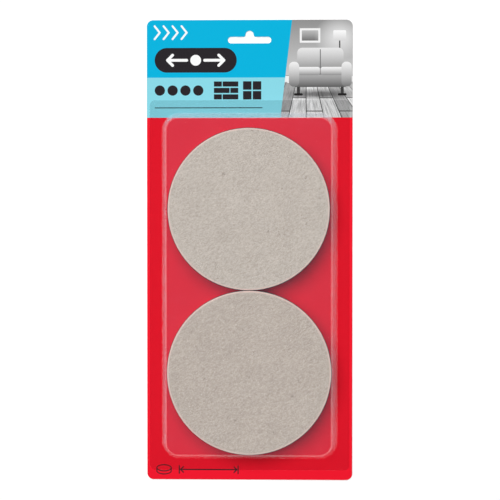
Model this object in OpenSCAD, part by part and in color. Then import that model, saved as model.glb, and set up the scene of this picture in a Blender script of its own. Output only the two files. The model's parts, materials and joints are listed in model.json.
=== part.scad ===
// Four felt furniture sliders, packed two deep in two stacks on a hanging card under a clear blister.
// The pack lies face up. The origin is the middle of the card's back face: +X runs across the card,
// +Y towards the hang slot and +Z out of the printed face. Lengths are in millimetres.

/* [Slider] */
// Diameter of a slider across its felt
slider_d = 127; // [100:1:140]
// Thickness of the felt
felt_t = 4.5; // [3:0.1:6]
// Rounding of the felt's working edge
felt_edge_r = 0.8; // [0.3:0.1:1.5]
// How far the carrier and its bond stand in from the felt's edge
carrier_inset = 2; // [0.2:0.1:3]
// Thickness of the carrier's floor
carrier_floor_t = 1.6; // [1:0.1:3]
// Width of the carrier's rim
carrier_rim_w = 2.4; // [1.6:0.1:4]
// Rounding along the top of the carrier's rim
carrier_rim_r = 0.6; // [0.2:0.1:0.8]
// Thickness of each bond film
bond_t = 0.3; // [0.1:0.05:0.5]

/* [Grip pad] */
// Thickness of the grip pad below its ridges
grip_t = 2.4; // [1.5:0.1:4]
// Height of the ridges on the grip pad
ridge_h = 0.6; // [0.3:0.1:1]
// Width of a ridge
ridge_w = 1.8; // [1:0.1:2.4]
// Distance from one ridge to the next
ridge_pitch = 4.5; // [3.5:0.1:6]
// How far the carrier's rim stands above the ridges
rim_lip = 0.4; // [0.2:0.1:1]
// Gap between the grip pad and the carrier's rim
grip_clear = 0.4; // [0.2:0.1:1]

/* [Packing] */
// Gap between loose pieces that lie on each other
seat_gap = 0.2; // [0.1:0.05:0.3]
// Gap between the two stacks where their rims meet
stack_gap = 0.4; // [0.3:0.1:1]
// Gap between the top felt and the face of the blister
headroom = 0.8; // [0.4:0.1:2]
// Gap between a stack and the blister's side walls, level with the top felt
side_clear = 1.4; // [0.8:0.1:4]
// Gap between the lower stack and the blister's foot wall, level with the top felt
foot_clear = 0.8; // [0.8:0.1:3]
// Free length above the upper stack, level with the top felt
end_play = 7.3; // [7.3:0.1:15]

/* [Blister] */
// Thickness of the clear film
film_t = 0.5; // [0.3:0.05:0.8]
// Draft of the blister's walls, in degrees
wall_draft = 9; // [4:0.5:12]
// Outer radius of the blister's corners where they meet the flange
dome_corner_r = 14; // [9:0.5:20]
// Outer rounding along the edge of the blister's face
dome_edge_r = 2; // [1.2:0.1:3]
// Width of the sealing flange round the blister
flange_w = 9.2; // [6:0.1:14]
// Radius of the flange's corners
flange_corner_r = 4; // [2:0.5:8]

/* [Card] */
// Thickness of the card
card_t = 0.6; // [0.4:0.05:1]
// Radius of the card's corners
card_corner_r = 5; // [2:0.5:8]
// Card showing beside the flange
card_side = 2.2; // [1:0.1:8]
// Card showing below the flange
card_foot = 7.6; // [4:0.1:20]
// Card showing above the flange, which carries the hang slot
card_head = 62.4; // [40:0.1:90]

/* [Hang slot] */
// Length of the hang slot
slot_l = 33.8; // [26:0.1:50]
// Height of the hang slot
slot_h = 5.1; // [4.5:0.1:8]
// Radius of the hump in the middle of the slot
hump_r = 3.2; // [2.5:0.1:4.5]
// Height of the hump's centre above the slot's upper edge
hump_rise = 1.5; // [1.5:0.1:3]
// Radius of the flare on both sides of the hump
hump_flare_r = 1.5; // [0.6:0.1:1.5]
// Distance from the card's top edge down to the slot's lower edge
slot_drop = 18.2; // [15:0.1:30]

/* [Hidden] */
$fn = 96;
overrun = 1;

// Heights in one slider, from its felt face up
bond_z = felt_t;
carrier_z = bond_z + bond_t;
grip_bond_z = carrier_z + carrier_floor_t;
grip_z = grip_bond_z + bond_t;
slider_t = grip_z + grip_t + ridge_h + rim_lip;

// Radii of one slider's layers
felt_r = slider_d / 2;
carrier_r = felt_r - carrier_inset;
recess_r = carrier_r - carrier_rim_w;
grip_r = recess_r - grip_clear;
ridge_count = floor((grip_r - ridge_w) / ridge_pitch);

// Heights of the packed stacks
rear_z = card_t + seat_gap;
front_z = rear_z + slider_t + seat_gap + slider_t;
stack_h = front_z - card_t;

// The blister's outline, from the stacks outward
wall_lean = tan(wall_draft);
wall_t = film_t / cos(wall_draft);
wall_run = wall_t + stack_h * wall_lean;
dome_h = stack_h + headroom + film_t;
dome_half_w = felt_r + side_clear + wall_run;
pocket_l = foot_clear + slider_d + stack_gap + slider_d + end_play;
dome_half_l = pocket_l / 2 + wall_run;
flange_half_w = dome_half_w + flange_w;
flange_half_l = dome_half_l + flange_w;

// The card's outline, and where things lie along it
card_w = 2 * (flange_half_w + card_side);
card_h = card_foot + 2 * flange_half_l + card_head;
dome_y = card_foot + flange_half_l - card_h / 2;
lower_y = dome_y - pocket_l / 2 + foot_clear + felt_r;
upper_y = lower_y + slider_d + stack_gap;
slot_y = card_h / 2 - slot_drop + slot_h / 2;

// One row for each slider: its name, its place along the card, and whether its felt faces out of the card
SLIDERS = [
    ["upper_front", upper_y, true],
    ["upper_rear", upper_y, false],
    ["lower_front", lower_y, true],
    ["lower_rear", lower_y, false]
];
LAYERS = ["glide_felt", "felt_bond", "carrier_dish", "grip_bond", "grip_pad"];

// Flat shapes

module rounded_rect(half_w, half_l, r) {
    square([2 * (half_w - r), 2 * half_l], center = true);
    square([2 * half_w, 2 * (half_l - r)], center = true);
    for (x = [-1, 1], y = [-1, 1])
        translate([x * (half_w - r), y * (half_l - r)]) circle(r);
}

module hang_slot_outline() {
    bar_half = (slot_l - slot_h) / 2;
    hump_z = slot_h / 2 + hump_rise;
    square([2 * bar_half, slot_h], center = true);
    for (x = [-1, 1]) translate([x * bar_half, 0]) circle(slot_h / 2);
    translate([0, hump_z]) circle(hump_r);
    translate([-hump_r, 0]) square([2 * hump_r, hump_z]);
    for (side = [0, 1]) mirror([side, 0]) difference() {
        square([hump_r + hump_flare_r, slot_h / 2 + hump_flare_r]);
        translate([hump_r + hump_flare_r, slot_h / 2 + hump_flare_r]) circle(hump_flare_r);
    }
}

// Section through a drafted wall with a rounded top edge, measured from the centre of the corner:
// base_r is the reach at z = 0, and the section goes on down to z = -below
module wall_section(base_r, height, edge_r, below) {
    centre_z = height - edge_r;
    centre_x = base_r - centre_z * wall_lean - edge_r / cos(wall_draft);
    polygon([
        [0, -below],
        [base_r + below * wall_lean, -below],
        [centre_x + edge_r * cos(wall_draft), centre_z + edge_r * sin(wall_draft)],
        [centre_x, centre_z],
        [centre_x, height],
        [0, height]
    ]);
    translate([centre_x, centre_z]) circle(edge_r);
}

// A block with drafted walls, rounded corners and a rounded upper edge
module drafted_block(half_w, half_l, height, corner_r, edge_r, below) {
    span_w = half_w - corner_r;
    span_l = half_l - corner_r;
    translate([-span_w, -span_l, -below]) cube([2 * span_w, 2 * span_l, height + below]);
    for (turn = [0, 180]) rotate([0, 0, turn]) {
        translate([span_w, span_l, 0]) rotate([90, 0, 0])
            linear_extrude(2 * span_l) wall_section(corner_r, height, edge_r, below);
        translate([-span_w, span_l, 0]) rotate([90, 0, 90])
            linear_extrude(2 * span_w) wall_section(corner_r, height, edge_r, below);
    }
    for (x = [0, 1], y = [0, 1]) mirror([x, 0, 0]) mirror([0, y, 0])
        translate([span_w, span_l, 0])
            rotate_extrude(angle = 90) wall_section(corner_r, height, edge_r, below);
}

// The pack

module backing_card() {
    color("crimson") linear_extrude(card_t) difference() {
        rounded_rect(card_w / 2, card_h / 2, card_corner_r);
        translate([0, slot_y]) hang_slot_outline();
    }
}

module blister_shell() {
    color("lightcyan", 0.3) translate([0, dome_y, card_t]) difference() {
        union() {
            linear_extrude(film_t) rounded_rect(flange_half_w, flange_half_l, flange_corner_r);
            drafted_block(dome_half_w, dome_half_l, dome_h, dome_corner_r, dome_edge_r, 0);
        }
        drafted_block(dome_half_w - wall_t, dome_half_l - wall_t, dome_h - film_t,
                      dome_corner_r - wall_t, dome_edge_r - film_t, overrun);
    }
}

// The layers of one slider, with the felt face down at z = 0

module glide_felt() {
    color("tan") rotate_extrude() {
        square([felt_r - felt_edge_r, felt_t]);
        translate([0, felt_edge_r]) square([felt_r, felt_t - felt_edge_r]);
        translate([felt_r - felt_edge_r, felt_edge_r]) circle(felt_edge_r);
    }
}

module felt_bond() {
    color("ivory") translate([0, 0, bond_z]) cylinder(r = carrier_r, h = bond_t);
}

module carrier_dish() {
    rim_h = slider_t - carrier_z;
    color("dimgray") translate([0, 0, carrier_z]) rotate_extrude() {
        square([carrier_r, carrier_floor_t]);
        translate([recess_r, 0]) square([carrier_rim_w, rim_h - carrier_rim_r]);
        translate([recess_r + carrier_rim_r, 0]) square([carrier_rim_w - 2 * carrier_rim_r, rim_h]);
        for (x = [recess_r + carrier_rim_r, carrier_r - carrier_rim_r])
            translate([x, rim_h - carrier_rim_r]) circle(carrier_rim_r);
    }
}

module grip_bond() {
    color("ivory") translate([0, 0, grip_bond_z]) cylinder(r = grip_r, h = bond_t);
}

module grip_pad() {
    color("darkslategray") translate([0, 0, grip_z]) rotate_extrude() {
        square([grip_r, grip_t]);
        square([ridge_w, grip_t + ridge_h]);
        for (i = [1 : ridge_count])
            translate([i * ridge_pitch, 0]) square([ridge_w, grip_t + ridge_h]);
    }
}

module layer_shape(layer) {
    if (layer == "glide_felt") glide_felt();
    if (layer == "felt_bond") felt_bond();
    if (layer == "carrier_dish") carrier_dish();
    if (layer == "grip_bond") grip_bond();
    if (layer == "grip_pad") grip_pad();
}

// Puts a slider's layer in its stack: a rear slider lies on its felt, a front one shows it
module packed_layer(slider, layer) {
    translate([0, slider[1], slider[2] ? front_z : rear_z])
        rotate([slider[2] ? 180 : 0, 0, 0])
            layer_shape(layer);
}

backing_card();
blister_shell();
for (s = SLIDERS) for (layer = LAYERS)
    packed_layer(s, layer);
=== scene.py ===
"""Looks for felt furniture sliders on a hanging card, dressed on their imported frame.

The pack lies face up: X runs across the card, Y towards the hang slot and Z out of the printed
face. Lengths are in metres, and the print on the card is laid out in millimetres from its middle.
"""

import json
import logging
import math
from dataclasses import dataclass, field
from enum import Enum

import bmesh
import bpy
import numpy as np
from mathutils import Matrix, Vector, noise

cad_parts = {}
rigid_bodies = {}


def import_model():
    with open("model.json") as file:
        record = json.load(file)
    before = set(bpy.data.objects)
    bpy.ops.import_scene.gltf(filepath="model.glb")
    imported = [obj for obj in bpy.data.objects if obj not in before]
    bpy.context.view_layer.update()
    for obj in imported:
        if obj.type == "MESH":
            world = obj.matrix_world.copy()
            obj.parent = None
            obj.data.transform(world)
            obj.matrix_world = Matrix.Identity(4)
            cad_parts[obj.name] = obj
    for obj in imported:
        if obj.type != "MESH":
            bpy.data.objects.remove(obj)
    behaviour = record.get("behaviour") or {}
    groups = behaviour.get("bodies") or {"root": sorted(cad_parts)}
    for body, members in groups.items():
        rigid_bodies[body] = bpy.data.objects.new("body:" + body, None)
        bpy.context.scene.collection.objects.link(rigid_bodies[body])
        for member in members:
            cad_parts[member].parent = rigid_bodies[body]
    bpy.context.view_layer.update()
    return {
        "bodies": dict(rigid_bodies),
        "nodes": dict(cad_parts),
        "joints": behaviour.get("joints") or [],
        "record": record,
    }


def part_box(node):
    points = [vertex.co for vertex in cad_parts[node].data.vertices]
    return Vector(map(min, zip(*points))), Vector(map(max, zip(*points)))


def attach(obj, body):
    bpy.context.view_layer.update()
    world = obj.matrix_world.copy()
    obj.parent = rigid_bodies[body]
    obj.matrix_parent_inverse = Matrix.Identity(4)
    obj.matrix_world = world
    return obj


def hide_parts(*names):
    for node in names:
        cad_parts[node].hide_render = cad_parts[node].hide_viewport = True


Colour = tuple[float, float, float, float]
Point = tuple[float, float]
Place = tuple[float, float, float]
Faces = list[tuple[int, ...]]
Socket = bpy.types.NodeSocket

LOG = logging.getLogger("slider_card")
MM = 0.001

# The way that most of the felt's fibres run, turned from X about Z
FELT_LAY = math.radians(32)
# Faces that meet at more than this are shaded with a sharp edge
SHARP_ANGLE = math.radians(50)
# The operations of Vector Math that give a number
NUMBER_RESULTS = ("DISTANCE", "DOT_PRODUCT", "LENGTH")


class Face(Enum):
    """Which way a slider's felt looks in the pack."""

    OUT = "out"
    IN = "in"


class Rim(Enum):
    """What the felt's rim attribute holds along its edge. It sets the pale rim, which is partly
    painted highlight, and the bead of painted shadow. It is 0 on the face of the felt.
    """

    SIDE = 0.1
    BORDER = 0.7
    ROUNDED = 1.0
    SHADOW_BEAD = 2.0


class Draw(Enum):
    """What is drawn at random for each fibre, with the number that it adds to the seed."""

    SPIN = 11
    LENGTH = 23
    BEND = 37
    LIFT = 51
    TONE = 67


def srgb(red: int, green: int, blue: int) -> Colour:
    """Turns a colour as a screen shows it into linear light.

    Args:
        red, green, blue: The colour's parts, from 0 to 255.

    Returns:
        The colour as Blender's sockets take it, with full alpha.
    """
    parts = [value / 255 for value in (red, green, blue)]
    linear = [p / 12.92 if p <= 0.04045 else ((p + 0.055) / 1.055) ** 2.4 for p in parts]
    return (linear[0], linear[1], linear[2], 1.0)


def grey(value: int) -> Colour:
    """Gives a neutral colour of that screen value."""
    return srgb(value, value, value)


# Node building


class NodeGraph:
    """A node tree, with short ways to add and join nodes."""

    def __init__(self, tree: bpy.types.NodeTree) -> None:
        """Takes a tree and empties it."""
        self.tree = tree
        self.tree.nodes.clear()

    def add(self, kind: str, inputs: dict | None = None, **settings: object) -> bpy.types.Node:
        """Adds a node.

        Args:
            kind: Blender's name for the node's type.
            inputs: Values, or sockets to link, by the input's name or number.
            settings: The node's own properties.

        Returns:
            The new node.
        """
        node = self.tree.nodes.new(kind)
        for name, value in settings.items():
            setattr(node, name, value)
        for key, value in (inputs or {}).items():
            if isinstance(value, Socket):
                self.tree.links.new(value, node.inputs[key])
            else:
                node.inputs[key].default_value = value
        return node

    def first(self, kind: str, inputs: dict | None = None, **settings: object) -> Socket:
        """Adds a node and returns its first output."""
        return self.add(kind, inputs, **settings).outputs[0]

    def math(self, operation: str, *values: float | Socket) -> Socket:
        """Adds a Math node and returns its result."""
        return self.first("ShaderNodeMath", dict(enumerate(values)), operation=operation)

    def vector(self, operation: str, *values: tuple | Socket) -> Socket:
        """Adds a Vector Math node and returns its result, a vector or a number."""
        node = self.add("ShaderNodeVectorMath", dict(enumerate(values)), operation=operation)
        return node.outputs["Value" if operation in NUMBER_RESULTS else "Vector"]

    def split(self, vector: Socket) -> list[Socket]:
        """Takes a vector apart into its X, Y and Z."""
        return list(self.add("ShaderNodeSeparateXYZ", {0: vector}).outputs)

    def join(self, *parts: float | Socket) -> Socket:
        """Makes a vector from its X, Y and Z, of which the last may be left out."""
        return self.first("ShaderNodeCombineXYZ", dict(enumerate(parts)))

    def fit(self, value: Socket, low: float, high: float, to_low: float, to_high: float) -> Socket:
        """Maps a value's range onto another range, and holds it there."""
        inputs = {"Value": value, 1: low, 2: high, 3: to_low, 4: to_high}
        return self.first("ShaderNodeMapRange", inputs)

    def layer(self, share: Socket, under: Socket, over: Socket) -> Socket:
        """Mixes two shaders: under where the share is 0, over where it is 1."""
        return self.first("ShaderNodeMixShader", {0: share, 1: under, 2: over})


class MaterialGraph(NodeGraph):
    """A material's node tree."""

    def __init__(self, name: str) -> None:
        """Starts an empty material.

        Args:
            name: The material's name.
        """
        self.material = bpy.data.materials.new(name)
        self.material.use_nodes = True
        super().__init__(self.material.node_tree)
        self.coords = self.add("ShaderNodeTexCoord").outputs

    def mix(self, factor: Socket, low: Colour | Socket, high: Colour | Socket) -> Socket:
        """Blends two colours: low where the factor is 0, high where it is 1."""
        node = self.add("ShaderNodeMix", {0: factor, 6: low, 7: high}, data_type="RGBA")
        return node.outputs[2]

    def weigh(self, *terms: tuple[float, Socket]) -> Socket:
        """Adds values up.

        Args:
            terms: Each value's weight, and the value.

        Returns:
            The weighted sum.
        """
        total, *others = [self.math("MULTIPLY", value, weight) for weight, value in terms]
        for term in others:
            total = self.math("ADD", total, term)
        return total

    def noise(self, scale: float, detail: float = 3.0, warp: float = 0.0,
              kind: str = "FBM", lay: float = 0.0, stretch: float = 1.0) -> Socket:
        """Adds fixed noise on Object coordinates.

        Args:
            scale: Cells per metre.
            detail: Octaves.
            warp: How far the noise distorts itself.
            kind: Blender's type of noise.
            lay: The way the grain runs, turned from X about Z.
            stretch: How much longer than wide the grain is.

        Returns:
            The noise's value.
        """
        place = self.first("ShaderNodeMapping", {
            "Vector": self.coords["Object"], "Rotation": (0, 0, lay), "Scale": (stretch, 1, 1),
        }, vector_type="TEXTURE")
        inputs = {"Vector": place, "Scale": scale, "Detail": detail, "Distortion": warp}
        return self.first("ShaderNodeTexNoise", inputs, noise_type=kind)

    def bump(self, height: Socket, strength: float, depth: float) -> Socket:
        """Turns a height into a normal. The depth is in metres."""
        inputs = {"Height": height, "Strength": strength, "Distance": depth}
        return self.first("ShaderNodeBump", inputs)

    def attribute(self, name: str) -> Socket:
        """Reads a number that the mesh holds."""
        return self.add("ShaderNodeAttribute", attribute_name=name).outputs["Fac"]

    def principled(self, inputs: dict) -> bpy.types.Material:
        """Ends the tree in a Principled shader and returns the material."""
        return self.finish(self.first("ShaderNodeBsdfPrincipled", inputs))

    def finish(self, shader: Socket) -> bpy.types.Material:
        """Joins a shader to the output and returns the material."""
        self.add("ShaderNodeOutputMaterial", {"Surface": shader})
        return self.material


# Finishes, whose scales are in cells per metre


@dataclass(frozen=True)
class FeltFinish:
    """Needled felt of undyed fibre: mottled and matt. Its pale rim is partly paler cut fibre and
    partly painted highlight, and its dark bead is a painted contact shadow.
    """

    name: str
    dark: Colour = srgb(188, 176, 163)
    light: Colour = srgb(229, 218, 206)
    # The rim's colour: paler cut fibre, with a painted highlight and painted pink light bounced off
    # the red card
    edge: Colour = srgb(255, 222, 210)
    # The bead's colour: a painted contact shadow round the felt
    shadow_bead: Colour = srgb(80, 60, 54)
    stray: Colour = srgb(139, 126, 114)
    rim_pale_and_highlight_share: float = 0.9
    strand_share: float = 0.4
    stray_share: float = 0.6
    cloud_scale: float = 45
    grain_scale: float = 1400
    grain_stretch: float = 3.2
    strand_scale: float = 900
    strand_stretch: float = 4.6
    stray_scale: float = 300
    relief: float = 0.35 * MM

    def material(self) -> bpy.types.Material:
        """Builds the felt's material.

        Returns:
            The material, which reads the mesh's rim attribute.
        """
        g = MaterialGraph(self.name)
        clouds = g.noise(self.cloud_scale, 3)
        grain = g.noise(self.grain_scale, 4, 0.4, lay=FELT_LAY, stretch=self.grain_stretch)
        strands = g.noise(self.strand_scale, 3, 0.6, "RIDGED_MULTIFRACTAL",
                          lay=FELT_LAY, stretch=self.strand_stretch)
        speckle = g.noise(self.grain_scale, 1)
        mottle = g.weigh((0.1, clouds), (0.45, grain), (0.45, speckle))
        tone = g.mix(g.fit(mottle, 0.35, 0.65, 0, 1), self.dark, self.light)
        tone = g.mix(g.fit(strands, 0.5, 1.5, 0, self.strand_share), tone, self.light)
        flecks = g.fit(g.noise(self.stray_scale, 2, 1.5), 0.68, 0.74, 0, self.stray_share)
        tone = g.mix(flecks, tone, self.stray)
        rim, rounded, shadow_bead = g.attribute("rim"), Rim.ROUNDED.value, Rim.SHADOW_BEAD.value
        # Painted highlight: the felt is blended towards the pale rim colour along its border and
        # rounded edge
        tone = g.mix(g.fit(rim, 0, rounded, 0, self.rim_pale_and_highlight_share), tone, self.edge)
        # Painted contact shadow: the bead below the rounded rim is coloured dark
        tone = g.mix(g.fit(rim, rounded, shadow_bead, 0, 1), tone, self.shadow_bead)
        relief = g.math("ADD", grain, g.math("MULTIPLY", strands, 0.3))
        return g.principled({
            "Base Color": tone,
            "Roughness": 0.95,
            "Specular IOR Level": 0.12,
            "Sheen Weight": 0.25,
            "Sheen Roughness": 0.6,
            "Normal": g.bump(relief, 0.55, self.relief),
        })


@dataclass(frozen=True)
class FibreFinish:
    """Loose fibres on the felt, each of its own tone."""

    name: str
    dark: Colour = srgb(168, 157, 146)
    light: Colour = srgb(243, 235, 227)
    fleck_scale: float = 900

    def material(self) -> bpy.types.Material:
        """Builds the fibres' material.

        Returns:
            The material, which reads the tone that the mesh holds for each fibre.
        """
        g = MaterialGraph(self.name)
        shade = g.weigh((0.8, g.attribute("fibre_tone")), (0.2, g.noise(self.fleck_scale)))
        return g.principled({
            "Base Color": g.mix(shade, self.dark, self.light),
            "Roughness": 0.85,
            "Specular IOR Level": 0.2,
            "Sheen Weight": 0.3,
        })


@dataclass(frozen=True)
class MouldedFinish:
    """Moulded plastic or rubber with a fine tool texture, uneven gloss and a little dust."""

    name: str
    dark: Colour
    light: Colour
    roughness: float
    grain_scale: float
    grain_depth: float
    cloud_scale: float = 38
    dust_scale: float = 210
    uneven: float = 0.07

    def material(self) -> bpy.types.Material:
        """Builds the moulded material.

        Returns:
            The material.
        """
        g = MaterialGraph(self.name)
        clouds = g.noise(self.cloud_scale, 4, 0.6)
        grain = g.noise(self.grain_scale, 3)
        dust = g.fit(g.noise(self.dust_scale, 6, 0.8), 0.6, 0.8, 0, 0.5)
        pale = g.math("MAXIMUM", g.fit(clouds, 0.35, 0.75, 0, 0.6), dust)
        gloss = g.fit(clouds, 0.3, 0.7, -self.uneven, self.uneven)
        return g.principled({
            "Base Color": g.mix(pale, self.dark, self.light),
            "Roughness": g.math("ADD", gloss, self.roughness),
            "Normal": g.bump(grain, 0.35, self.grain_depth),
        })


@dataclass(frozen=True)
class BondFinish:
    """A cured film of milky adhesive, with small bubbles."""

    name: str
    dark: Colour = srgb(205, 196, 170)
    light: Colour = srgb(236, 230, 212)
    bubble_scale: float = 420
    cloud_scale: float = 90
    glow_depth: Place = (0.5 * MM, 0.45 * MM, 0.35 * MM)
    bubble_depth: float = 0.1 * MM

    def material(self) -> bpy.types.Material:
        """Builds the adhesive's material.

        Returns:
            The material.
        """
        g = MaterialGraph(self.name)
        inputs = {"Vector": g.coords["Object"], "Scale": self.bubble_scale}
        cells = g.add("ShaderNodeTexVoronoi", inputs).outputs["Distance"]
        bubbles = g.fit(cells, 0.1, 0.35, 0, 1)
        clouds = g.fit(g.noise(self.cloud_scale, 4), 0.3, 0.7, 0, 1)
        return g.principled({
            "Base Color": g.mix(g.math("MULTIPLY", bubbles, clouds), self.dark, self.light),
            "Roughness": 0.35,
            "Subsurface Weight": 0.2,
            "Subsurface Radius": self.glow_depth,
            "Normal": g.bump(bubbles, 0.2, self.bubble_depth),
        })


@dataclass(frozen=True)
class ClearFilmFinish:
    """Clear thermoformed film: light goes straight through, and it is frosted where drawn, more on
    walls that face the lamp, a painted lit side.
    """

    name: str
    tint: Colour = (0.93, 0.931, 0.932, 1.0)
    drawn_tint: Colour = (0.985, 0.985, 0.985, 1.0)
    lamp_tint: Colour = (0.985, 0.985, 0.985, 1.0)
    haze: Colour = (0.5, 0.72, 1.0, 1.0)
    frost: Colour = (0.94, 0.95, 1.0, 1.0)
    refraction: float = 1.57
    most_mirror: float = 0.16
    haze_share: float = 0.021
    frost_share: float = 0.19
    # How much more the film is hazed and frosted on walls that face the lamp, a painted lit side
    lit_side_bias: float = 0.75
    frost_roughness: float = 0.8
    roughness: float = 0.05
    wear: float = 0.07
    wear_scale: float = 60
    wave_scale: float = 22
    wave_depth: float = 1.0 * MM
    formed_from: float = 1.6 * MM
    formed_run: float = 1.5 * MM

    def material(self) -> bpy.types.Material:
        """Builds the film's material.

        Returns:
            The material. A lamp's rays pass it with no haze, frost or mirror.
        """
        g = MaterialGraph(self.name)
        height = g.split(g.coords["Object"])[2]
        formed = g.fit(height, self.formed_from, self.formed_from + self.formed_run, 0, 1)
        _, along, out = g.split(g.coords["Normal"])
        drawn = g.fit(g.math("ABSOLUTE", out), 0.9, 0.3, 0, 1)
        # Painted lit side: haze and frost are stronger on walls that face up the card, towards the
        # lamp, and weaker on walls that face its foot. The wear factor below holds this as well as
        # the random spots of wear.
        lit_side_frost = g.fit(along, -1, 1, 1 - self.lit_side_bias, 1 + self.lit_side_bias)
        spots = g.fit(g.noise(self.wear_scale, 4), 0.3, 0.7, 1 - self.wear, 1 + self.wear)
        wear = g.math("MULTIPLY", spots, lit_side_frost)
        tint = g.mix(drawn, self.tint, self.drawn_tint)
        film = g.first("ShaderNodeBsdfTransparent", {"Color": tint})
        milk = g.first("ShaderNodeBsdfDiffuse", {"Color": self.haze, "Normal": (0, 0, 1)})
        hazed = g.math("MULTIPLY", g.math("MULTIPLY", formed, wear), self.haze_share)
        film = g.layer(hazed, film, milk)
        slant = g.add("ShaderNodeLayerWeight", {"Blend": 0.5}).outputs["Facing"]
        glance = g.math("MULTIPLY", g.math("POWER", slant, 2.0), self.frost_share)
        frosted = g.math("MULTIPLY", g.math("MULTIPLY", drawn, glance), wear)
        film = g.layer(frosted, film, g.first("ShaderNodeBsdfGlossy", {
            "Color": self.frost, "Roughness": self.frost_roughness}))
        waves = g.bump(g.noise(self.wave_scale, 2), 0.1, self.wave_depth)
        film = g.layer(self.mirror(g, waves), film, g.first("ShaderNodeBsdfGlossy", {
            "Roughness": self.roughness, "Normal": waves}))
        lamp_ray = g.add("ShaderNodeLightPath").outputs["Is Shadow Ray"]
        passed = g.first("ShaderNodeBsdfTransparent", {"Color": self.lamp_tint})
        return g.finish(g.layer(lamp_ray, film, passed))

    def mirror(self, g: MaterialGraph, waves: Socket) -> Socket:
        """Works out how much of its surroundings the film mirrors, from both of its sides.

        Args:
            g: The film's tree.
            waves: The film's normal.

        Returns:
            The share that is mirrored.
        """
        inside = g.add("ShaderNodeNewGeometry").outputs["Backfacing"]
        ratio = g.fit(inside, 0, 1, self.refraction, 1 / self.refraction)
        fresnel = g.first("ShaderNodeFresnel", {"IOR": ratio, "Normal": waves})
        return g.math("MINIMUM", fresnel, self.most_mirror)


# The card's print


class PrintSheet(MaterialGraph):
    """A node tree that draws flat inks on the card. A mask is 1 where it prints and 0 elsewhere."""

    def __init__(self, name: str) -> None:
        """Starts a sheet, with its place across and along the card ready to use.

        Args:
            name: The material's name.
        """
        super().__init__(name)
        self.place = self.vector("MULTIPLY", self.coords["Object"], (1 / MM, 1 / MM, 0))
        self.across, self.along, _ = self.split(self.place)

    def above(self, height: float) -> Socket:
        """Masks what lies above a height."""
        return self.math("GREATER_THAN", self.along, height)

    def offset(self, origin: Point) -> Socket:
        """Measures each place from an origin."""
        return self.vector("SUBTRACT", self.place, (*origin, 0))

    def disc(self, centre: Point, radius: float) -> Socket:
        """Masks a filled circle."""
        away = self.vector("DISTANCE", self.place, (*centre, 0))
        return self.math("LESS_THAN", away, radius)

    def ellipse(self, centre: Point, half: Point) -> Socket:
        """Measures from an ellipse's middle: 1 on its outline, which has those half axes."""
        return self.vector("LENGTH", self.vector("DIVIDE", self.offset(centre), (*half, 1)))

    def ellipse_line(self, centre: Point, half: Point, width: float) -> Socket:
        """Masks the outline of an ellipse.

        Args:
            centre: The ellipse's middle.
            half: Its half axes, to the middle of the line.
            width: The line's width.

        Returns:
            The mask.
        """
        outer = self.ellipse(centre, (half[0] + width / 2, half[1] + width / 2))
        inner = self.ellipse(centre, (half[0] - width / 2, half[1] - width / 2))
        within = self.math("LESS_THAN", outer, 1.0)
        return self.math("MULTIPLY", within, self.math("GREATER_THAN", inner, 1.0))

    def glow(self, centre: Point, half: Point, most: float) -> Socket:
        """Masks an ellipse that fades from its middle out to its outline."""
        return self.fit(self.ellipse(centre, half), 0.25, 1.0, most, 0)

    def ramp(self, low: float, high: float, lower: int, upper: int) -> Socket:
        """Blends two greys from one height to another."""
        return self.mix(self.fit(self.along, low, high, 0, 1), grey(lower), grey(upper))

    def bar(self, centre: Point, half: Point, radius: float) -> Socket:
        """Masks a filled rectangle with rounded corners.

        Args:
            centre: The rectangle's middle.
            half: Half its width and half its height.
            radius: The radius of its corners.

        Returns:
            The mask.
        """
        folded = self.vector("ABSOLUTE", self.offset(centre))
        outside = self.vector("SUBTRACT", folded, (half[0] - radius, half[1] - radius, 0))
        clipped = self.vector("MAXIMUM", outside, (0, 0, 0))
        return self.math("LESS_THAN", self.vector("LENGTH", clipped), radius)

    def stroke(self, start: Point, end: Point, width: float) -> Socket:
        """Masks a straight pen stroke with round ends.

        Args:
            start, end: The middles of its two ends.
            width: The pen's width.

        Returns:
            The mask.
        """
        run = Vector((*end, 0)) - Vector((*start, 0))
        offset = self.offset(start)
        share = self.vector("DOT_PRODUCT", offset, tuple(run / run.length_squared))
        held = self.fit(share, 0, 1, 0, 1)
        foot = self.first("ShaderNodeVectorMath", {0: tuple(run), "Scale": held}, operation="SCALE")
        return self.math("LESS_THAN", self.vector("DISTANCE", offset, foot), width / 2)

    def arrow(self, start: Point, end: Point, width: float, head: float) -> list[Socket]:
        """Draws a line with an arrow head at its end.

        Args:
            start, end: The line's two ends.
            width: The pen's width.
            head: How far the head reaches back, and out to each side.

        Returns:
            The masks of its strokes.
        """
        back = (Vector(start) - Vector(end)).normalized() * head
        out = Vector((-back.y, back.x))
        barbs = [tuple(Vector(end) + back + out * side) for side in (-1, 1)]
        return [self.stroke(start, end, width), *(self.stroke(end, b, width) for b in barbs)]

    def any_of(self, masks: list[Socket]) -> Socket:
        """Joins masks into one.

        Args:
            masks: The masks, at least one.

        Returns:
            The mask of what any of them prints.
        """
        joined = masks[0]
        for mask in masks[1:]:
            joined = self.math("MAXIMUM", joined, mask)
        return joined


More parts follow.
